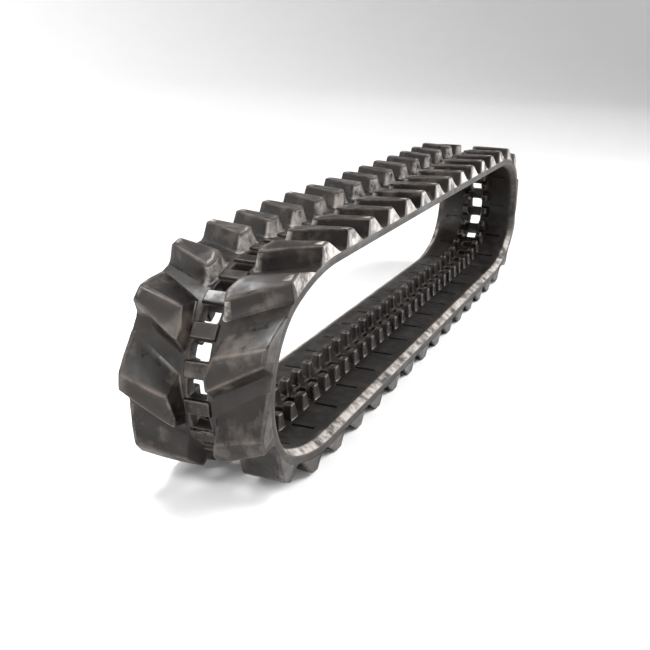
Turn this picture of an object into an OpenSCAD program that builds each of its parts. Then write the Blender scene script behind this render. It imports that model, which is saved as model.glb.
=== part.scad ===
// Endless rubber track for a mini excavator, standing on its tread as a long flattened loop.
// The loop is cut into sections that bend at hinge lines, all of them on the line of the steel cords.
// Links are counted along the cords: 0 is the middle of the lower run, the count grows towards the
// near end (-X), up round it, along the upper run to +X and down the far end, back to the lower run.

/* [Belt] */
// Overall width of the belt
belt_w = 230; // [220:5:260]
// Distance from one core bar to the next along the cords
link_pitch = 52.5; // [48:0.5:60]
// Belt thickness outside the cord line
tread_t = 10; // [8:0.5:14]
// Belt thickness inside the cord line
inner_t = 12; // [11.5:0.5:14]
// Width of the slanted edge between the roller path and the belt's side
edge_bevel = 14; // [8:1:16]
// Depth of that slanted edge
edge_bevel_t = 8; // [4:0.5:9]

/* [Loop] */
// Links in each straight run
run_links = 24; // [20:2:32]
// Links in each of the four arcs of an end
arc_links = 3; // [3:1:4]
// Angle that the first and the last arc of an end turn through
shoulder_turn = 21; // [15:1:30]
// Gap between the two halves of the upper run, at the open joint
open_gap = 1; // [0.5:0.5:3]

/* [Tread lugs] */
// Height of the lugs above the belt
lug_h = 28; // [20:1:34]
// How far the outer end of a lug lies ahead of its centre end
lug_slant = 46; // [20:1:50]
// Length of the flat top at the centre end
lug_centre_len = 47; // [30:1:50]
// Length of the flat top at the outer end
lug_outer_len = 24; // [18:1:34]
// Length of the short slope behind the flat top
lug_back_slope = 11; // [4:1:16]
// Length of the long slope ahead of the flat top, at the outer end
lug_front_slope = 45; // [20:1:45]

/* [Inner side] */
// Width of the drive windows
window_w = 30; // [28:1:36]
// Length of the drive windows
window_len = 28; // [24:1:30]
// Height of the guide lugs above the roller path
guide_h = 26; // [18:1:32]
// Length of a guide lug where it meets the belt
guide_len = 30; // [24:1:34]
// Width of a guide lug where it meets the belt
guide_w = 22; // [20:1:25]
// Width of the cross grooves in the roller path
groove_w = 8; // [4:1:10]
// Depth of the cross grooves
groove_d = 4; // [2:0.5:4]

/* [Steel] */
// Length of a core bar along the belt
bar_len = 20; // [14:1:22]
// Thickness of a core bar
bar_t = 6.4; // [5:0.2:7]
// Diameter of a steel cord
cord_d = 3.6; // [2.4:0.2:3.8]
// Steel cords on each side of the drive windows
cords_per_side = 6; // [4:1:8]

/* [Hidden] */
// Sections in order along the belt: name, first link, last link, turn in degrees.
half = run_links / 2;
loop_links = 2 * run_links + 8 * arc_links;
tip_turn = 90 - shoulder_turn;
SECTIONS = [
    ["bottom", -half, half, 0],
    ["near_lower", half, half + arc_links, shoulder_turn],
    ["near_tip_lower", half + arc_links, half + 2 * arc_links, tip_turn],
    ["near_tip_upper", half + 2 * arc_links, half + 3 * arc_links, tip_turn],
    ["near_upper", half + 3 * arc_links, half + 4 * arc_links, shoulder_turn],
    ["top_near", half + 4 * arc_links, 2 * half + 4 * arc_links, 0],
    ["top_far", 2 * half + 4 * arc_links, 3 * half + 4 * arc_links, 0],
    ["far_upper", 3 * half + 4 * arc_links, 3 * half + 5 * arc_links, shoulder_turn],
    ["far_tip_upper", 3 * half + 5 * arc_links, 3 * half + 6 * arc_links, tip_turn],
    ["far_tip_lower", 3 * half + 6 * arc_links, 3 * half + 7 * arc_links, tip_turn],
    ["far_lower", 3 * half + 7 * arc_links, 3 * half + 8 * arc_links, shoulder_turn],
];
LAST = len(SECTIONS) - 1;
PIECES = ["inner_cover", "tread_base", "tread_lugs", "core_bars", "steel_cords"];
$fa = 1;

cord_h = lug_h + tread_t;             // height of the cord line above the ground, on the lower run
layer_n = -2;                         // where the inner cover meets the tread base
band_in = window_w / 2;               // inner edge of each rubber band
band_out = belt_w / 2;
rung_len = link_pitch - window_len;
wing_cover = 17;                      // rubber between a core bar's wing and the belt's side
bar_reach = band_out - wing_cover;
bar_z = 3;                            // outer face of a core bar, inward of the cord line
horn_in = band_in + 7.5;              // inner side of a horn
horn_t = 9;
horn_cover = 6;                       // rubber over the end of a horn
horn_top = inner_t + guide_h - horn_cover;
horn_foot_len = 15;
horn_tip_len = 10;
guide_in = band_in + 0.5;             // inner side of a guide lug at the belt
shelf = 0.5;                          // how far the roller path stands above the guide lugs' shelf
shelf_t = inner_t - shelf;
path_in = guide_in + guide_w + 1.5;   // inner edge of the roller path
seam = 0.05;                          // parting between the bands, the rungs and the guide lugs
guide_tip_len = 18;
guide_tip_in = guide_in + 4.5;
guide_tip_w = 14;
guide_root = 1;                       // how far a guide lug is drawn into the belt before it is cut
groove_in = path_in + 2.5;
groove_out = band_out - 31;
cord_first = 45;                      // first cord's distance from the middle
cord_step = 9;
cord_trim = 0.5;                      // how far a cord stops short of a hinge line
lug_centre_y = 23;                    // centre end of a lug's flat top
lug_nose_s = -6;                      // where the centre end comes nearest to the middle
lug_nose_back = 4;                    // how far the centre end falls back behind that point
lug_nose_front = 10;                  // how far it falls back ahead of that point
lug_draft = 3;                        // slope of a lug's end faces
lug_draft_back = 2;                   // slope behind the nearest point of the centre end
lug_centre_slope = 19;                // length of the long slope at the centre end
lug_root = 3;                         // how far a lug is drawn down into the belt before it is cut
lug_seat = 0.05;                      // parting between a lug and the tread base
gap = 0.3;                            // gap at a hinge line, on the cord line
gap_out = 5.6;                        // slope of each gap face outside the cord line
gap_in = 4.6;                         // slope of each gap face inside the cord line
reach = 60;                           // further than any piece stands from the cord line
over = 5;                             // how far a cutting solid passes the belt's sides

// ---- path of the cord line ----

function arc_radius(turn, links) = turn == 0 ? 0 : links * link_pitch / (turn * PI / 180);
function section_radius(i) = arc_radius(SECTIONS[i][3], SECTIONS[i][2] - SECTIONS[i][1]);

// A state is [x, z, heading]: heading 0 runs towards -X, 90 runs up and 180 runs towards +X.
function advance(state, dist, radius) =
    radius == 0
        ? [state[0] - dist * cos(state[2]), state[1] + dist * sin(state[2]), state[2]]
        : let (end = state[2] + dist / radius * 180 / PI)
          [state[0] + radius * (sin(state[2]) - sin(end)),
           state[1] + radius * (cos(state[2]) - cos(end)), end];

function section_start(i) =
    i == 0
        ? [half * link_pitch, cord_h, 0]
        : advance(section_start(i - 1), (SECTIONS[i - 1][2] - SECTIONS[i - 1][1]) * link_pitch,
                  section_radius(i - 1));
STARTS = [for (i = [0:LAST]) section_start(i)];

function wrap(k) = k < -half ? k + loop_links : k > loop_links - half ? k - loop_links : k;
function section_of(k) = max([for (i = [0:LAST]) SECTIONS[i][1] <= k ? i : 0]);
function state_in(i, k) = advance(STARTS[i], (k - SECTIONS[i][1]) * link_pitch, section_radius(i));
function state_at(k) = let (w = wrap(k)) state_in(section_of(w), w);

// Change of heading between two links, in degrees.
function turn_between(k, end) = (state_at(end)[2] - state_at(k)[2] + 540) % 360 - 180;

// Puts its children at a state: X along the belt, Y across it, Z towards the inside of the loop.
module place(state) {
    translate([state[0], 0, state[1]]) rotate([0, state[2], 0]) rotate([0, 0, 180]) children();
}

// Sweeps an outline along one section. The outline's X is the distance outside the cord line and
// its Y is the distance across the belt.
module sweep(i, trim = 0) {
    radius = section_radius(i);
    length = (SECTIONS[i][2] - SECTIONS[i][1]) * link_pitch;
    place(STARTS[i])
        if (radius == 0) {
            translate([trim, 0, 0]) rotate([0, 90, 0]) linear_extrude(length - 2 * trim) children();
        } else {
            cut = trim / radius * 180 / PI;
            translate([0, 0, radius]) rotate([90, 90, 0]) rotate([0, 0, cut])
                rotate_extrude(angle = SECTIONS[i][3] - 2 * cut)
                    translate([radius, 0]) mirror([0, 1]) children();
        }
}

// The wedge of air at each end of a section, which lets the belt bend both ways there.
module hinge_gap(state, width) {
    out = reach * tan(gap_out);
    in = reach * tan(gap_in);
    place(state) rotate([90, 0, 0]) linear_extrude(2 * band_out + 2 * over, center = true)
        polygon([[-width / 2, 0], [-width / 2 - in, reach], [width / 2 + in, reach],
                 [width / 2, 0], [width / 2 + out, -reach], [-width / 2 - out, -reach]]);
}

// Both end gaps of a section. The open joint is a plain slot.
module end_gaps(i) {
    for (k = [SECTIONS[i][1], SECTIONS[i][2]])
        if (k == 2 * half + 4 * arc_links) {
            place(state_in(i, k)) cube([open_gap, 2 * band_out + 2 * over, 2 * reach], center = true);
        } else {
            hinge_gap(state_in(i, k), gap);
        }
}

// Places its children at the middle of every link of a section.
module each_bar(i) {
    for (k = [SECTIONS[i][1]:SECTIONS[i][2] - 1]) place(state_in(i, k + 0.5)) children();
}

module both_sides() {
    children();
    mirror([0, 1, 0]) children();
}

// ---- steel ----

module horn() {
    translate([0, horn_in + horn_t, 0]) rotate([90, 0, 0]) linear_extrude(horn_t)
        polygon([[-horn_foot_len / 2, bar_z + 1], [horn_foot_len / 2, bar_z + 1],
                 [horn_tip_len / 2, horn_top], [-horn_tip_len / 2, horn_top]]);
}

module core_bar() {
    translate([-bar_len / 2, -bar_reach, bar_z]) cube([bar_len, 2 * bar_reach, bar_t]);
    both_sides() horn();
}

module core_bars(i) {
    color("dimgray") each_bar(i) core_bar();
}

module cord_outline() {
    for (side = [-1, 1]) for (c = [0:cords_per_side - 1])
        translate([0, side * (cord_first + c * cord_step)]) circle(d = cord_d, $fn = 24);
}

module steel_cords(i) {
    color("silver") sweep(i, cord_trim) cord_outline();
}

// ---- rubber ----

module both_bands() {
    children();
    mirror([0, 1]) children();
}

module inner_outline() {
    polygon([[layer_n, band_in], [-shelf_t, band_in], [-shelf_t, path_in], [-inner_t, path_in],
             [-inner_t, band_out - edge_bevel], [edge_bevel_t - inner_t, band_out],
             [layer_n, band_out]]);
}

module tread_outline() {
    translate([layer_n, band_in]) square([tread_t - layer_n, band_out - band_in]);
}

// Cross grooves lie between bars, at every second link, the left ones one link from the right ones.
module grooves(i) {
    for (k = [SECTIONS[i][1] + 1:SECTIONS[i][2] - 1])
        place(state_in(i, k))
            translate([-groove_w / 2, abs(k) % 2 == 0 ? groove_in : -groove_out, inner_t - groove_d])
                cube([groove_w, groove_out - groove_in, groove_d + over]);
}

module guide_lug() {
    foot = shelf_t - guide_root;
    top = inner_t + guide_h;
    points = [for (level = [[foot, guide_len / 2, guide_in, guide_in + guide_w],
                            [top, guide_tip_len / 2, guide_tip_in, guide_tip_in + guide_tip_w]])
        for (corner = [[-1, 2], [1, 2], [1, 3], [-1, 3]])
            [corner[0] * level[1], level[corner[1]], level[0]]];
    polyhedron(points, [[0, 1, 2, 3], [7, 6, 5, 4], [0, 4, 5, 1], [1, 5, 6, 2], [2, 6, 7, 3],
                        [3, 7, 4, 0]]);
}

module rung() {
    width = 2 * (band_in - seam);
    translate([-rung_len / 2, -width / 2, -tread_t]) cube([rung_len, width, tread_t + inner_t]);
}

// One rubber moulding: two roller paths, the rungs between the drive windows and the guide lugs.
module inner_cover(i) {
    color("#2b2724") difference() {
        union() {
            difference() {
                sweep(i) both_bands() inner_outline();
                grooves(i);
                end_gaps(i);
            }
            difference() {
                each_bar(i) both_sides() guide_lug();
                sweep(i) translate([-shelf_t - seam, -band_out]) square([inner_t, 2 * band_out]);
            }
            each_bar(i) rung();
        }
        each_bar(i) core_bar();
    }
}

module tread_base(i) {
    color("#24211f") difference() {
        sweep(i) both_bands() tread_outline();
        sweep(i) cord_outline();
        end_gaps(i);
    }
}

// A corner of a lug. Its top keeps its length where the belt under it bends.
function lug_point(k, side, corner, n) =
    let (links = corner[0] / link_pitch,
         bend = turn_between(k, k + links) * PI / 180 / corner[0],
         state = state_at(k + links / (1 + max(0, n - tread_t) * bend)))
    [state[0] - n * sin(state[2]), -side * corner[1], state[1] - n * cos(state[2])];

// Corners of a lug's top and foot as [distance along the belt, distance across it].
lug_tip_s = lug_slant - lug_centre_len / 2;
LUG_TOP = [
    [-lug_centre_len / 2, lug_centre_y + lug_nose_back],
    [lug_nose_s, lug_centre_y],
    [lug_centre_len / 2, lug_centre_y + lug_nose_front],
    [lug_tip_s + lug_outer_len, band_out - lug_draft],
    [lug_tip_s, band_out - lug_draft],
];
LUG_FOOT = [
    [-lug_centre_len / 2 - lug_back_slope, lug_centre_y + lug_nose_back - lug_draft],
    [lug_nose_s - lug_draft_back, lug_centre_y - lug_draft],
    [lug_centre_len / 2 + lug_centre_slope, lug_centre_y + lug_nose_front - lug_draft],
    [lug_tip_s + lug_outer_len + lug_front_slope, band_out],
    [lug_tip_s - lug_back_slope, band_out],
];

module lug(k, side) {
    points = [for (corner = LUG_FOOT) lug_point(k, side, corner, tread_t - lug_root),
              for (corner = LUG_TOP) lug_point(k, side, corner, tread_t + lug_h)];
    walls = [for (a = [0:4]) let (b = (a + 1) % 5) each [[a, b, b + 5], [a, b + 5, a + 5]]];
    faces = concat(walls, [[4, 3, 2, 1, 0]], [for (a = [0:2]) [5, 6 + a, 7 + a]]);
    polyhedron(points, side > 0 ? faces : [for (f = faces) [for (j = [len(f) - 1:-1:0]) f[j]]]);
}

// Lugs repeat every second link, the left row one link from the right row.
module tread_lugs(i) {
    color("#302c29") difference() {
        intersection() {
            for (k = [SECTIONS[i][1] - 3:SECTIONS[i][2] + 1]) lug(k + 0.5, abs(k) % 2 == 0 ? 1 : -1);
            sweep(i) translate([tread_t + lug_seat, -band_out - over])
                square([lug_h + over, 2 * band_out + 2 * over]);
        }
        end_gaps(i);
    }
}

for (i = [0:LAST]) {
    inner_cover(i);
    tread_base(i);
    tread_lugs(i);
    core_bars(i);
    steel_cords(i);
}
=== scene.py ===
import math

import bmesh
import bpy
from mathutils import Matrix, Vector


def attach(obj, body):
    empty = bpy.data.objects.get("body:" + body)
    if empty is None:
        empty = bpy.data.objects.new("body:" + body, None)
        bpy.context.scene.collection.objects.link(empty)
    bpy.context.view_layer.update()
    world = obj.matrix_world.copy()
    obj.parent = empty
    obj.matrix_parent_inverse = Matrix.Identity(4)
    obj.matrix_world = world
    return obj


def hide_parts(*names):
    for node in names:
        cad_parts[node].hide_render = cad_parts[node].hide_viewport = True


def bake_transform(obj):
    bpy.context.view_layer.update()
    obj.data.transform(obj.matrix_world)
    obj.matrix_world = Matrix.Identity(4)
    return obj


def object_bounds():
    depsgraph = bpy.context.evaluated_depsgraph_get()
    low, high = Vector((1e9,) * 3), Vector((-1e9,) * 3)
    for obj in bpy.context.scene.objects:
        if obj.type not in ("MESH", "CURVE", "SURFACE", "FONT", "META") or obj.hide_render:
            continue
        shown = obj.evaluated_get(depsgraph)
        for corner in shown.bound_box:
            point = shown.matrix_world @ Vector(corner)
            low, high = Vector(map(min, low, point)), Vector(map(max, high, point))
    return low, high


# Looks of the endless rubber track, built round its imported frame. Lengths are in metres.
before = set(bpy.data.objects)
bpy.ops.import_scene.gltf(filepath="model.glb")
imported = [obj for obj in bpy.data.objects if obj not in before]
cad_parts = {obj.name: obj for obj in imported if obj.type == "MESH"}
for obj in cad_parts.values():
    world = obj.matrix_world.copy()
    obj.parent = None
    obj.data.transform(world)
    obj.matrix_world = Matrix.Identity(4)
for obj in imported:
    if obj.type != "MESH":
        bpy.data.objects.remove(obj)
CAD_LOW, CAD_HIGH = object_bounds()

# ---- the track's own dimensions ----
MM = 0.001
PITCH = 52.5 * MM                      # one link along the steel cords
HALF_WIDTH = (CAD_HIGH.y - CAD_LOW.y) / 2
TREAD_T = 10 * MM                      # rubber outside the cord line
INNER_T = 12 * MM                      # rubber inside the cord line, under the roller paths
SHELF_T = 11.5 * MM                    # the same, under the guide lugs
LUG_H = 28 * MM
CORD_H = LUG_H + TREAD_T               # cord line above the ground on the lower run
BEVEL = 14 * MM
BEVEL_T = 8 * MM
WINDOW = (28 * MM, 30 * MM)            # along and across the belt
RUN, ARC = 24, 3                       # links in a straight run and in an arc
SHOULDER, TIP = 21, 69                 # turn of the outer and the inner arcs, in degrees
BODIES = (
    ("bottom", RUN, 0), ("near_lower", ARC, SHOULDER), ("near_tip_lower", ARC, TIP),
    ("near_tip_upper", ARC, TIP), ("near_upper", ARC, SHOULDER), ("top_near", RUN / 2, 0),
    ("top_far", RUN / 2, 0), ("far_upper", ARC, SHOULDER), ("far_tip_upper", ARC, TIP),
    ("far_tip_lower", ARC, TIP), ("far_lower", ARC, SHOULDER),
)
NEAR_END = range(1, 5)                 # which of them make up the near end
LINKS = sum(links for _, links, _ in BODIES)
TINY = 1e-6


# ---- the path of the cord line ----
def advance(state, dist, links, turn):
    """Moves a state (x, z, heading) along a straight or an arc."""
    x, z, a = state
    if not turn:
        return x - dist * math.cos(a), z + dist * math.sin(a), a
    radius = links * PITCH / math.radians(turn)
    b = a + dist / radius
    return x + radius * (math.sin(a) - math.sin(b)), z + radius * (math.cos(a) - math.cos(b)), b


def starts():
    """First link and state of every body, in order along the belt."""
    k, state, out = -RUN / 2, (RUN / 2 * PITCH, CORD_H, 0.0), []
    for name, links, turn in BODIES:
        out.append((name, k, state, links, turn))
        state = advance(state, links * PITCH, links, turn)
        k += links
    return out


STARTS = starts()


def state_at(k):
    """Place on the cord line at link k, which may lie past either end of the count."""
    laps, first = 0, STARTS[0][1]
    while k >= first + LINKS:
        k, laps = k - LINKS, laps + 1
    while k < first:
        k, laps = k + LINKS, laps - 1
    for name, start, state, links, turn in STARTS:
        if k < start + links:
            x, z, a = advance(state, (k - start) * PITCH, links, turn)
            return x, z, a + laps * 2 * math.pi
    raise ValueError("link outside the belt")


def belt_point(k, across, out):
    """A point of the belt: link, distance across and distance outside the cord line."""
    x, z, a = state_at(k)
    return Vector((x - out * math.sin(a), -across, z - out * math.cos(a)))


def lug_point(k, along, across, out):
    """A point of a lug. Its top keeps its length where the belt under it bends."""
    if abs(along) < TINY:
        return belt_point(k, across, out)
    bend = (state_at(k + along / PITCH)[2] - state_at(k)[2]) / along
    return belt_point(k + along / PITCH / (1 + max(0.0, out - TREAD_T) * bend), across, out)


def rigid_point(k, along, across, out):
    """A point of something stiff that is fixed to the belt at link k."""
    x, z, a = state_at(k)
    return Vector((x - out * math.sin(a) - along * math.cos(a), -across,
                   z - out * math.cos(a) + along * math.sin(a)))


# ---- wear, dust and painted light ----
LEAST_LUG_DUST_AND_LIGHT = 0.55                  # pale dust and painted light on the lugs of the belt's ends
LUG_END_DUST_AND_LIGHT = 0.76                    # on a lug's centre end, against its outer end
BEVEL_DUST_AND_LIGHT = 0.5                       # outline points with more dust and painted light than this are on the bevel
LEAST_BEVEL_SHARE = 0.6                # of the bevel's dust and painted light, where it faces down


def dust_and_top_light(k, inner):
    """How much pale dust and painted top light lies at link k: most where its inner or its outer
    side faces up.
    """
    up = math.cos(state_at(k)[2]) * (1 if inner else -1)
    return max(0.0, min(1.0, (up + 0.1) / 0.9)) ** 1.5


# ---- materials ----
# pale dust, which also paints the light on lit faces: the lug ends and the bevel
DUST_AND_LIGHT_COLOUR = (0.47, 0.435, 0.405)
# painted sheen: paler smears in the rubber's colour that stand for streaks of reflected light
PAINTED_SHEEN_COLOUR = (0.088, 0.074, 0.063)
# paler edges: partly wear, partly a painted glint along the rims
WORN_AND_GLINT_COLOUR = (0.115, 0.092, 0.078)


def nodes_of(name):
    material = bpy.data.materials.new(name)
    material.use_nodes = True
    tree = material.node_tree
    shader = next(n for n in tree.nodes if n.type == "BSDF_PRINCIPLED")
    return material, tree, shader


def add(tree, kind, inputs=(), **settings):
    node = tree.nodes.new(kind)
    for key, value in settings.items():
        setattr(node, key, value)
    for key, value in dict(inputs).items():
        if isinstance(value, bpy.types.NodeSocket):
            tree.links.new(value, node.inputs[key])
        else:
            node.inputs[key].default_value = value
    return node


def noise(tree, scale, detail=4.0, rough=0.55):
    coords = add(tree, "ShaderNodeTexCoord")
    return add(tree, "ShaderNodeTexNoise",
               {"Vector": coords.outputs["Object"], "Scale": scale, "Detail": detail,
                "Roughness": rough}).outputs["Fac"]


def remap(tree, value, low, high, to_low=0.0, to_high=1.0):
    node = add(tree, "ShaderNodeMapRange", {"Value": value, "From Min": low, "From Max": high,
                                            "To Min": to_low, "To Max": to_high})
    return node.outputs["Result"]


def mix(tree, factor, a, b):
    node = tree.nodes.new("ShaderNodeMix")
    node.data_type = "RGBA"
    tree.links.new(factor, node.inputs["Factor"])
    for key, value in ((6, a), (7, b)):
        if isinstance(value, bpy.types.NodeSocket):
            tree.links.new(value, node.inputs[key])
        else:
            node.inputs[key].default_value = (*value, 1.0)
    return node.outputs[2]


def math_node(tree, operation, a, b):
    return add(tree, "ShaderNodeMath", {0: a, 1: b}, operation=operation).outputs[0]


def rubber(name, dark, brown, dust, gloss, painted_sheen_share=0.25):
    """Moulded rubber: black-brown and cloudy, with paler smears in places that are painted sheen,
    edges paler from wear and a painted glint, and pale dust with painted light where its points say
    so. gloss is its lowest and its highest roughness."""
    material, tree, shader = nodes_of(name)
    cloud = noise(tree, 13.0, 4.0, 0.6)
    fine = noise(tree, 260.0, 6.0, 0.7)
    patches = noise(tree, 38.0, 5.0, 0.65)
    colour = mix(tree, remap(tree, cloud, 0.35, 0.68), dark, brown)
    # painted sheen: paler smears at random places, standing for streaks of reflected light
    painted_sheen = remap(tree, noise(tree, 21.0, 4.0, 0.6), 0.52, 0.70, 0.0, painted_sheen_share)
    colour = mix(tree, painted_sheen, colour, PAINTED_SHEEN_COLOUR)
    # edges paler: wear and a painted glint along the rims
    edge = add(tree, "ShaderNodeAttribute", attribute_name="edge").outputs["Fac"]
    wear_and_glint = math_node(tree, "MULTIPLY", edge, remap(tree, patches, 0.38, 0.66, 0.1, 0.9))
    colour = mix(tree, wear_and_glint, colour, WORN_AND_GLINT_COLOUR)
    # pale dust with painted light on lit faces, from the points' values of dust and light
    ends = add(tree, "ShaderNodeAttribute", attribute_name="dust").outputs["Fac"]
    dusty = math_node(tree, "MULTIPLY", remap(tree, ends, 0.5, 0.95),
                      remap(tree, patches, 0.40, 0.60, 0.08, 1.0))
    colour = mix(tree, dusty, colour, dust)
    tree.links.new(colour, shader.inputs["Base Color"])
    sheen = math_node(tree, "ADD", math_node(tree, "MULTIPLY", patches, 0.5),
                      math_node(tree, "MULTIPLY", cloud, 0.5))
    rough = math_node(tree, "ADD", remap(tree, sheen, 0.38, 0.6, *gloss),
                      math_node(tree, "MULTIPLY", dusty, 0.25))
    tree.links.new(rough, shader.inputs["Roughness"])
    shader.inputs["Specular IOR Level"].default_value = 0.24
    height = math_node(tree, "ADD", math_node(tree, "MULTIPLY", fine, 0.25), patches)
    bump = add(tree, "ShaderNodeBump", {"Height": height, "Strength": 0.22, "Distance": 0.0012})
    tree.links.new(bump.outputs["Normal"], shader.inputs["Normal"])
    return material


def steel(name, colour, rust):
    """Bare steel with darker mottling, for the bars and cords inside the rubber."""
    material, tree, shader = nodes_of(name)
    tree.links.new(mix(tree, remap(tree, noise(tree, 60.0), 0.4, 0.7), colour, rust),
                   shader.inputs["Base Color"])
    tree.links.new(remap(tree, noise(tree, 180.0), 0.3, 0.7, 0.35, 0.6),
                   shader.inputs["Roughness"])
    shader.inputs["Metallic"].default_value = 0.9
    return material


BELT_RUBBER = rubber("belt_rubber", (0.0050, 0.0040, 0.0034), (0.0130, 0.0102, 0.0084),
                     DUST_AND_LIGHT_COLOUR, gloss=(0.36, 0.66))
LUG_RUBBER = rubber("lug_rubber", (0.0040, 0.0031, 0.0027), (0.0125, 0.0093, 0.0074),
                    DUST_AND_LIGHT_COLOUR, gloss=(0.22, 0.56), painted_sheen_share=0.6)
GUIDE_RUBBER = rubber("guide_rubber", (0.0060, 0.0042, 0.0034), (0.0150, 0.0102, 0.0080),
                      (0.08, 0.068, 0.06), gloss=(0.22, 0.40))
BAR_STEEL = steel("bar_steel", (0.16, 0.15, 0.14), (0.09, 0.06, 0.045))
CORD_STEEL = steel("cord_steel", (0.55, 0.54, 0.52), (0.40, 0.37, 0.33))


# ---- mesh helpers ----
SHARP_ANGLE = math.radians(42)         # edges that bend more than this stay sharp
SINK = 0.4 * MM                        # how far a moulding's foot is sunk into the belt
RIM_WIDTH = 2.2                        # of a moulding's rounded rim, in crowns


class Shell:
    """Points with an edge value (wear and painted glint) and a value of dust and painted light
    each, and the faces between them.
    """

    def __init__(self):
        self.points, self.edge, self.dust, self.faces, self.seen = [], [], [], [], {}

    def point(self, place, edge=0.0, dust=0.0):
        key = tuple(round(c, 6) for c in place)
        if key not in self.seen:
            self.seen[key] = len(self.points)
            self.points.append(place)
            self.edge.append(edge)
            self.dust.append(dust)
        return self.seen[key]

    def face(self, *corners):
        loop = [c for i, c in enumerate(corners) if c != corners[i - 1]]
        if len(set(loop)) > 2:
            self.faces.append(loop)

    def bridge(self, ring_a, ring_b, closed=True):
        count = len(ring_a)
        for i in range(count if closed else count - 1):
            j = (i + 1) % count
            self.face(ring_a[i], ring_a[j], ring_b[j], ring_b[i])

    def piece(self, name, material, slot, cap=False):
        mesh = bpy.data.meshes.new(name)
        mesh.from_pydata([tuple(p) for p in self.points], [], self.faces)
        for key, values in (("edge", self.edge), ("dust", self.dust)):
            mesh.attributes.new(key, "FLOAT", "POINT").data.foreach_set("value", values)
        bm = bmesh.new()
        bm.from_mesh(mesh)
        if cap:
            bmesh.ops.holes_fill(bm, edges=[e for e in bm.edges if e.is_boundary], sides=0)
        bmesh.ops.recalc_face_normals(bm, faces=bm.faces)
        bm.to_mesh(mesh)
        bm.free()
        mesh.shade_smooth()
        mesh.set_sharp_from_angle(angle=SHARP_ANGLE)
        mesh.materials.append(material)
        made = bpy.data.objects.new(name, mesh)
        bpy.context.scene.collection.objects.link(made)
        return made


def rounded_loop(corners, radius, steps, cuts):
    """A closed outline with rounded corners and its straight sides cut into pieces."""
    out, count = [], len(corners)
    arcs = []
    for i, corner in enumerate(corners):
        here = Vector(corner)
        back = (Vector(corners[i - 1]) - here).normalized()
        ahead = (Vector(corners[(i + 1) % count]) - here).normalized()
        half = back.angle(ahead) / 2
        reach = radius / math.tan(half)
        centre = here + (back + ahead).normalized() * (radius / math.sin(half))
        a, b = here + back * reach - centre, here + ahead * reach - centre
        turn = a.angle_signed(b)
        arcs.append([centre + Matrix.Rotation(-turn * j / steps, 2) @ a for j in range(steps + 1)])
    for i, arc in enumerate(arcs):
        start, end = arc[-1], arcs[(i + 1) % count][0]
        out += arc + [start.lerp(end, j / cuts) for j in range(1, cuts)]
    return out


def grown(loop, by):
    """The same outline moved outwards by a distance. Outlines run anticlockwise."""
    out, count = [], len(loop)
    for i, here in enumerate(loop):
        along = (loop[(i + 1) % count] - loop[i - 1]).normalized()
        out.append(here + Vector((along.y, -along.x)) * by)
    return out


def moulding(shell, foot, top, low, high, place, fillet, crown, side_dust=(0.0,)):
    """A moulded block from a foot outline to a top outline, with a fillet and a rounded rim.
    The last argument gives how much pale dust and painted light each side of the outline has."""
    height = high - low
    per_side = len(foot) // len(side_dust)
    rim = crown / height
    # share of the way from foot to top, distance outside the outline, height, edge wear and painted
    # glint, dust and painted light
    levels = (
        (0.0, fillet, low - SINK, 0.0, 0.12),
        (0.0, 0.45 * fillet, low + 0.5 * MM, 0.0, 0.12),
        (0.02, 0.12 * fillet, low + 1.6 * MM, 0.0, 0.1),
        (0.12, 0.0, low + 0.13 * height, 0.0, 0.05),
        (0.5, 0.0, low + 0.5 * height, 0.0, 0.0),
        (1 - 2 * rim, 0.0, high - 2 * crown, 0.0, 0.0),
        (1 - rim, 0.0, high - crown, 0.3, 0.0),
        (1.0, -0.12 * crown, high - 0.62 * crown, 0.7, 0.0),
        (1.0, -0.42 * crown, high - 0.22 * crown, 0.9, 0.0),
        (1.0, -0.95 * crown, high, 0.6, 0.0),
        (1.0, -RIM_WIDTH * crown, high, 0.1, 0.0),
    )
    rings = []
    for share, offset, out, edge, dust in levels:
        loop = grown([a.lerp(b, share) for a, b in zip(foot, top)], offset)
        fade = 1.0 if edge < 0.2 else 0.5 if edge < 0.5 else 0.0
        rings.append([shell.point(place(p.x, p.y, out), edge,
                                  max(dust, fade * side_dust[i // per_side]))
                      for i, p in enumerate(loop)])
    for a, b in zip(rings, rings[1:]):
        shell.bridge(a, b)
    middle = sum(top, Vector((0, 0))) / len(top)
    last = grown(top, -RIM_WIDTH * crown)
    inner = [shell.point(place(*p.lerp(middle, 0.5), high)) for p in last]
    shell.bridge(rings[-1], inner)
    hub = shell.point(place(*middle, high))
    for i, here in enumerate(inner):
        shell.face(here, inner[(i + 1) % len(inner)], hub)
    base = shell.point(place(*middle, low - SINK))
    for i, here in enumerate(rings[0]):
        shell.face(rings[0][(i + 1) % len(rings[0])], here, base)


# ---- the tread lugs ----
LUG_Y = 23 * MM                        # centre end of a lug's flat top
DRAFT = 3 * MM
CENTRE_LEN, OUTER_LEN = 47 * MM, 24 * MM
BACK, FRONT = 11 * MM, 45 * MM         # slopes behind and ahead of the flat top
OUTER_S = 46 * MM - CENTRE_LEN / 2     # where the flat top starts at the outer end
LUG_TOP = (
    (-CENTRE_LEN / 2, LUG_Y + 4 * MM), (-6 * MM, LUG_Y), (CENTRE_LEN / 2, LUG_Y + 10 * MM),
    (OUTER_S + OUTER_LEN, HALF_WIDTH - DRAFT), (OUTER_S, HALF_WIDTH - DRAFT),
)
LUG_FOOT = (
    (-CENTRE_LEN / 2 - BACK, LUG_Y + 4 * MM - DRAFT), (-8 * MM, LUG_Y - DRAFT),
    (CENTRE_LEN / 2 + 19 * MM, LUG_Y + 10 * MM - DRAFT),
    (OUTER_S + OUTER_LEN + FRONT, HALF_WIDTH - 0.3 * MM), (OUTER_S - BACK, HALF_WIDTH - 0.3 * MM),
)


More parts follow.
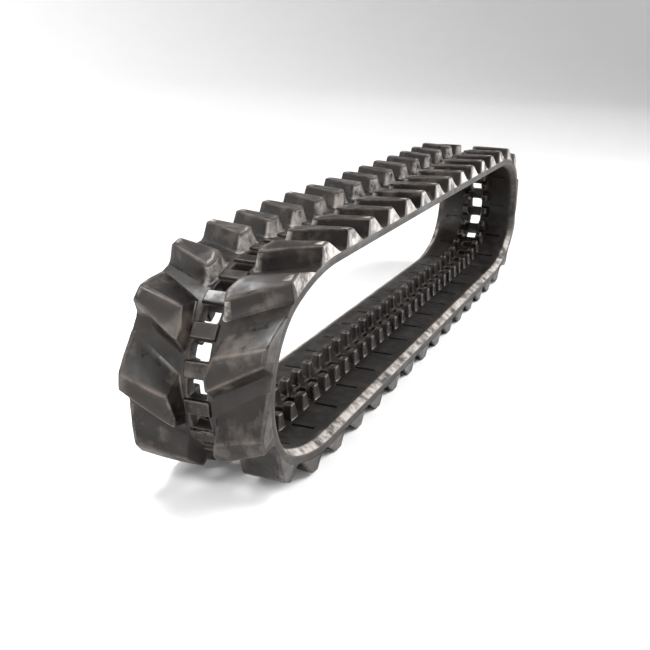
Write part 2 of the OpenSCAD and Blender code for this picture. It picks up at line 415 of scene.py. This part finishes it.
def lug(shell, link):
    """One lug: even links carry the right row's, odd links the left row's."""
    side = 1 if link % 2 == 0 else -1
    foot = rounded_loop(LUG_FOOT, radius=3.5 * MM, steps=4, cuts=5)
    top = rounded_loop(LUG_TOP, radius=3.0 * MM, steps=4, cuts=5)

    def place(along, across, out):
        spot = lug_point(link + 0.5, along, side * min(across, HALF_WIDTH), out)
        spot.x = min(CAD_HIGH.x, max(CAD_LOW.x, spot.x))
        return spot

    # pale dust and painted light on the lug's ends, more where its outer side faces up
    dust = max(LEAST_LUG_DUST_AND_LIGHT, dust_and_top_light(link + 0.5, inner=False))
    centre_dust = LUG_END_DUST_AND_LIGHT * dust
    moulding(shell, foot, top, TREAD_T, TREAD_T + LUG_H, place, fillet=4 * MM, crown=2 * MM,
             side_dust=(centre_dust, centre_dust, 0.0, dust, 0.0))


# ---- the raised pads on the rungs between the drive windows ----
PAD_H = 4 * MM
PAD_FOOT = ((-12 * MM, -21 * MM), (12 * MM, -21 * MM), (12 * MM, 21 * MM), (-12 * MM, 21 * MM))
PAD_TOP = ((-10.5 * MM, -19.5 * MM), (10.5 * MM, -19.5 * MM), (10.5 * MM, 19.5 * MM),
           (-10.5 * MM, 19.5 * MM))


def rung_pad(shell, link):
    foot = rounded_loop(PAD_FOOT, radius=2 * MM, steps=2, cuts=3)
    top = rounded_loop(PAD_TOP, radius=2 * MM, steps=2, cuts=3)

    def place(along, across, out):
        return lug_point(link + 0.5, along, across, out)

    moulding(shell, foot, top, TREAD_T, TREAD_T + PAD_H, place, fillet=0.4 * MM, crown=0.8 * MM)


# ---- the guide lugs ----
GUIDE_H = 26 * MM
GUIDE_FOOT = ((-15 * MM, 15.5 * MM), (15 * MM, 15.5 * MM), (15 * MM, 37.5 * MM),
              (-15 * MM, 37.5 * MM))
GUIDE_TOP = ((-9 * MM, 20 * MM), (9 * MM, 20 * MM), (9 * MM, 34 * MM), (-9 * MM, 34 * MM))


def guide_lug(shell, link, side):
    foot = rounded_loop(GUIDE_FOOT, radius=3 * MM, steps=3, cuts=2)
    top = rounded_loop(GUIDE_TOP, radius=3 * MM, steps=3, cuts=2)

    def place(along, across, depth):
        return rigid_point(link + 0.5, along, side * across, -depth)

    moulding(shell, foot, top, SHELF_T, INNER_T + GUIDE_H, place, fillet=1.5 * MM,
             crown=2.2 * MM)


# ---- the belt ----
STRIP = 24 * MM                        # half width of the strip that holds the drive windows
# points along a link and across that strip
ALONG = [s * MM for s in (-26.25, -21, -14, -8, -4.2, -3.4, 0, 3.4, 4.2, 8, 14, 21, 26.25)]
ACROSS = [y * MM for y in (12, 0, -12)]
GROOVE = (41.5 * MM, HALF_WIDTH - 31 * MM)      # inner and outer end of a cross groove
GROOVE_D = 4 * MM
GROOVE_HALF = 3.5 * MM
GROOVE_END = 0.5 * MM
SQUARENESS = 7                         # of the drive windows' rounded outline


def band_outline():
    """Half of the belt's cross-section, from the inner side round the edge to the tread side:
    distance across, distance outside the cord line, edge wear with painted glint, and dust with
    painted light of each point."""
    flat_end = HALF_WIDTH - BEVEL
    inside = [(y * MM, -SHELF_T, 0.0, 0.0) for y in (24, 32, 38.4)]
    inside += [(y * MM, -INNER_T, 0.0, 0.0) for y in (39.2, 41.5, 42.5, 50, 58, 66, 74, 83, 84, 92)]
    bevel = [
        (flat_end - 1.5 * MM, -INNER_T, 0.3, 0.3),
        (flat_end + 0.8 * MM, 0.4 * MM - INNER_T, 0.8, 0.7),
        (flat_end + 3 * MM, 1.5 * MM - INNER_T, 0.2, 0.9),
        (HALF_WIDTH - 2.6 * MM, BEVEL_T - 1.5 * MM - INNER_T, 0.2, 0.9),
        (HALF_WIDTH - 0.6 * MM, BEVEL_T - 0.1 * MM - INNER_T, 0.8, 0.8),
        (HALF_WIDTH, BEVEL_T + 1.6 * MM - INNER_T, 0.3, 0.35),
    ]
    side = [(HALF_WIDTH, TREAD_T - 8 * MM, 0.1, 0.3), (HALF_WIDTH, TREAD_T - 2.4 * MM, 0.3, 0.3),
            (HALF_WIDTH - 0.7 * MM, TREAD_T - 0.7 * MM, 0.6, 0.3),
            (HALF_WIDTH - 2.4 * MM, TREAD_T, 0.2, 0.3)]
    outside = [(y * MM, TREAD_T, 0.0, 0.12) for y in (104, 90, 76, 62, 48, 34, 24)]
    return inside + bevel + side + outside


def groove_depth(along, across, link, side):
    """The roller paths' cross grooves lie at even links on the right, at odd ones on the left."""
    if (link % 2 == 0) != (side > 0) or abs(along) > GROOVE_HALF:
        return 0.0
    return GROOVE_D if GROOVE[0] + GROOVE_END < across < GROOVE[1] - GROOVE_END else 0.0


def window_rings(shell, link):
    """The middle strip of one link, with its drive window, as rings from outside to inside."""
    box = ([(s, STRIP) for s in ALONG] + [(ALONG[-1], y) for y in ACROSS]
           + [(s, -STRIP) for s in reversed(ALONG)] + [(ALONG[0], y) for y in reversed(ACROSS)])

    def hole(s, y, grow):
        u, v = s / ALONG[-1], y / STRIP
        size = (abs(u) ** SQUARENESS + abs(v) ** SQUARENESS) ** (-1 / SQUARENESS)
        return u * size * (WINDOW[0] / 2 + grow), v * size * (WINDOW[1] / 2 + grow)

    def ring(points, out, edge, dust):
        return [shell.point(belt_point(link + s / PITCH, y, out), edge, dust) for s, y in points]

    steps = [ring(box, TREAD_T, 0.05, 0.1)]
    # distance outside the window's outline, distance outside the cord line, edge wear and painted
    # glint, dust and painted light
    for grow, out, edge, dust in (
            (3.2 * MM, TREAD_T, 0.1, 0.1), (1.6 * MM, TREAD_T - 0.3 * MM, 0.7, 0.1),
            (0.4 * MM, TREAD_T - 1.7 * MM, 0.6, 0.1), (0.0, TREAD_T - 4 * MM, 0.1, 0.1),
            (-0.6 * MM, 0.0, 0.0, 0.1), (0.0, 4 * MM - SHELF_T, 0.1, 0.1),
            (0.4 * MM, 1.7 * MM - SHELF_T, 0.6, 0.1),
            (1.6 * MM, 0.3 * MM - SHELF_T, 0.7, 0.1), (3.2 * MM, -SHELF_T, 0.1, 0.1)):
        steps.append(ring([hole(s, y, grow) for s, y in box], out, edge, dust))
    steps.append(ring(box, -SHELF_T, 0.05, 0.1))
    for a, b in zip(steps, steps[1:]):
        shell.bridge(a, b)


def belt_link(shell, link):
    """One link of belt, from the middle of one rung to the middle of the next."""
    window_rings(shell, link)
    outline = band_outline()
    for side in (1, -1):
        rows = []
        for s in ALONG:
            row = []
            for across, out, edge, dust in outline:
                depth = groove_depth(s, across, link, side) if out == -INNER_T else 0.0
                if depth:
                    dust = 0.0
                # the bevel's pale dust and painted top light, less where it faces down
                elif dust > BEVEL_DUST_AND_LIGHT:
                    dust = max(LEAST_BEVEL_SHARE * dust,
                               dust * dust_and_top_light(link + s / PITCH, inner=True))
                row.append(shell.point(belt_point(link + s / PITCH, side * across, out + depth),
                                       edge, dust))
            rows.append(row)
        for a, b in zip(rows, rows[1:]):
            shell.bridge(a, b, closed=False)


# ---- pieces, in order along the belt ----
def hinge_pieces():
    """Belt and lugs round each hinge line, where two bodies meet, curved along the belt's path."""
    for i, (name, start, _, _, _) in enumerate(STARTS):
        before = STARTS[i - 1][0]
        if (before, name) == ("top_near", "top_far"):
            continue
        shown = name if i in NEAR_END else before       # whose CAD rubber these stand for
        label = f"{before}_to_{name}" if i else f"{before}_to_bottom"
        belt, lugs = Shell(), Shell()
        for link in (-1, 0, 1):
            belt_link(belt, round(start) + link)
        for link in (-2, -1, 0):
            lug(lugs, round(start) + link)
            rung_pad(lugs, round(start) + link)
        made = (belt.piece(f"belt_{label}", BELT_RUBBER, "tread_rubber", cap=True),
                lugs.piece(f"lugs_{label}", LUG_RUBBER, "lug_rubber"))
        for piece in made:
            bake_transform(piece)
        if shown not in ("bottom", "top_near", "top_far"):
            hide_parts(f"inner_cover_{shown}", f"tread_base_{shown}")
            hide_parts(f"tread_lugs_{shown}")


def run_pieces():
    """Belt and lugs of the straight runs, away from the hinge lines: first and last link of
    belt, then first and last link with lugs."""
    quarter = round(RUN / 2)
    upper = quarter + 4 * ARC
    spans = (("bottom", 2 - quarter, quarter - 2, 1 - quarter, quarter - 3),
             ("top_near", upper + 2, upper + quarter - 1, upper + 1, upper + quarter - 1),
             ("top_far", upper + quarter, upper + 2 * quarter - 2, upper + quarter,
              upper + 2 * quarter - 3))
    for body, first, last, first_lug, last_lug in spans:
        belt, lugs = Shell(), Shell()
        for link in range(first, last + 1):
            belt_link(belt, link)
        for link in range(first_lug, last_lug + 1):
            lug(lugs, link)
            rung_pad(lugs, link)
        made = (belt.piece(f"belt_{body}", BELT_RUBBER, "tread_rubber", cap=True),
                lugs.piece(f"lugs_{body}", LUG_RUBBER, "lug_rubber"))
        for piece in made:
            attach(piece, body)
        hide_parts(f"inner_cover_{body}", f"tread_base_{body}")
        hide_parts(f"tread_lugs_{body}")


def guide_pieces():
    for body, start, _, links, _ in STARTS:
        guides = Shell()
        for link in range(round(start), round(start + links)):
            for side in (1, -1):
                guide_lug(guides, link, side)
        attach(guides.piece(f"guide_lugs_{body}", GUIDE_RUBBER, "inner_rubber"), body)


def dress_steel():
    """Gives the bars and cords that stay from the frame their own metal."""
    for name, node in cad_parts.items():
        metal = {"core_bars": BAR_STEEL, "steel_cords": CORD_STEEL}.get(
            "_".join(name.split("_")[:2]))
        if metal:
            node.data.materials.clear()
            node.data.materials.append(metal)


# ---- stage, light and camera ----
CAMERA_PLACE = (-2.045, -0.633, 0.696)
CAMERA_LENS = 55.14                    # mm, on a sensor 36 mm wide
CAMERA_ANGLES = (20.77, 17.11, 2.00)   # yaw, pitch and roll in degrees
KEY_FROM = (0.55, -1.1, 1.25)
KEY_POWER, KEY_SPREAD = 3.4, 35        # the spread is in degrees
SKY_STRENGTH = 0.3


def backdrop():
    """A pale floor that sweeps up into a wall all round."""
    material, tree, shader = nodes_of("backdrop")
    tree.links.new(mix(tree, noise(tree, 3.0), (0.90, 0.90, 0.90), (0.93, 0.93, 0.93)),
                   shader.inputs["Base Color"])
    shader.inputs["Roughness"].default_value = 0.9
    shader.inputs["Specular IOR Level"].default_value = 0.1
    floor_r, sweep, wall, sides, steps = 8.0, 4.0, 9.0, 96, 16
    profile = [(0.0, 0.0), (floor_r / 2, 0.0), (floor_r, 0.0)]
    profile += [(floor_r + sweep * math.sin(a), sweep * (1 - math.cos(a)))
                for a in (math.pi / 2 * i / steps for i in range(1, steps + 1))]
    profile.append((floor_r + sweep, wall))
    shell = Shell()
    rings = [[shell.point(Vector((r * math.cos(math.tau * i / sides),
                                  r * math.sin(math.tau * i / sides), z - 0.5 * MM)))
              for i in range(sides)] for r, z in profile]
    for inner, outer in zip(rings, rings[1:]):
        shell.bridge(inner, outer)
    mesh = bpy.data.meshes.new("backdrop")
    mesh.from_pydata([tuple(p) for p in shell.points], [], shell.faces)
    mesh.shade_smooth()
    mesh.materials.append(material)
    made = bpy.data.objects.new("backdrop", mesh)
    bpy.context.scene.collection.objects.link(made)


def lamp(name, place, target, size, power):
    light = bpy.data.lights.new(name, "AREA")
    light.shape = "RECTANGLE"
    light.size, light.size_y = size
    light.energy = power
    made = bpy.data.objects.new(name, light)
    made.location = place
    made.rotation_euler = (Vector(target) - Vector(place)).to_track_quat("-Z", "Y").to_euler()
    made.visible_camera = False
    bpy.context.scene.collection.objects.link(made)


def lights():
    world = bpy.data.worlds.new("studio")
    world.use_nodes = True
    background = world.node_tree.nodes["Background"]
    background.inputs["Color"].default_value = (1.0, 1.0, 1.0, 1.0)
    background.inputs["Strength"].default_value = SKY_STRENGTH
    bpy.context.scene.world = world
    sun = bpy.data.lights.new("key", "SUN")
    sun.energy = KEY_POWER
    sun.angle = math.radians(KEY_SPREAD)
    made = bpy.data.objects.new("key", sun)
    made.rotation_euler = (-Vector(KEY_FROM)).to_track_quat("-Z", "Y").to_euler()
    bpy.context.scene.collection.objects.link(made)
    lamp("side_panel", (1.6, -2.4, 0.7), (0.2, 0.0, 0.25), (2.6, 1.2), 90)
    lamp("front_top_box", (-2.3, 0.5, 1.5), (-0.8, 0.0, 0.25), (0.8, 0.5), 28)
    lamp("shoulder_box", (-0.57, 0.72, 1.72), (-0.8, 0.0, 0.36), (0.6, 0.45), 26)
    lamp("low_front_strip", (-1.9, -0.35, 0.06), (-0.85, 0.0, 0.2), (1.0, 0.3), 12)


def camera():
    data = bpy.data.cameras.new("camera")
    data.sensor_width = 36.0
    data.lens = CAMERA_LENS
    yaw, pitch, roll = (math.radians(a) for a in CAMERA_ANGLES)
    ahead = Vector((math.cos(pitch) * math.cos(yaw), math.cos(pitch) * math.sin(yaw),
                    -math.sin(pitch)))
    right = ahead.cross(Vector((0, 0, 1))).normalized()
    up = right.cross(ahead)
    right, up = (right * math.cos(roll) + up * math.sin(roll),
                 up * math.cos(roll) - right * math.sin(roll))
    made = bpy.data.objects.new("camera", data)
    made.matrix_world = Matrix.Translation(CAMERA_PLACE) @ Matrix(
        (right, up, -ahead)).transposed().to_4x4()
    bpy.context.scene.collection.objects.link(made)
    bpy.context.scene.camera = made


bpy.context.scene.view_settings.view_transform = "Standard"
camera()
hinge_pieces()
run_pieces()
guide_pieces()
dress_steel()
backdrop()
lights()
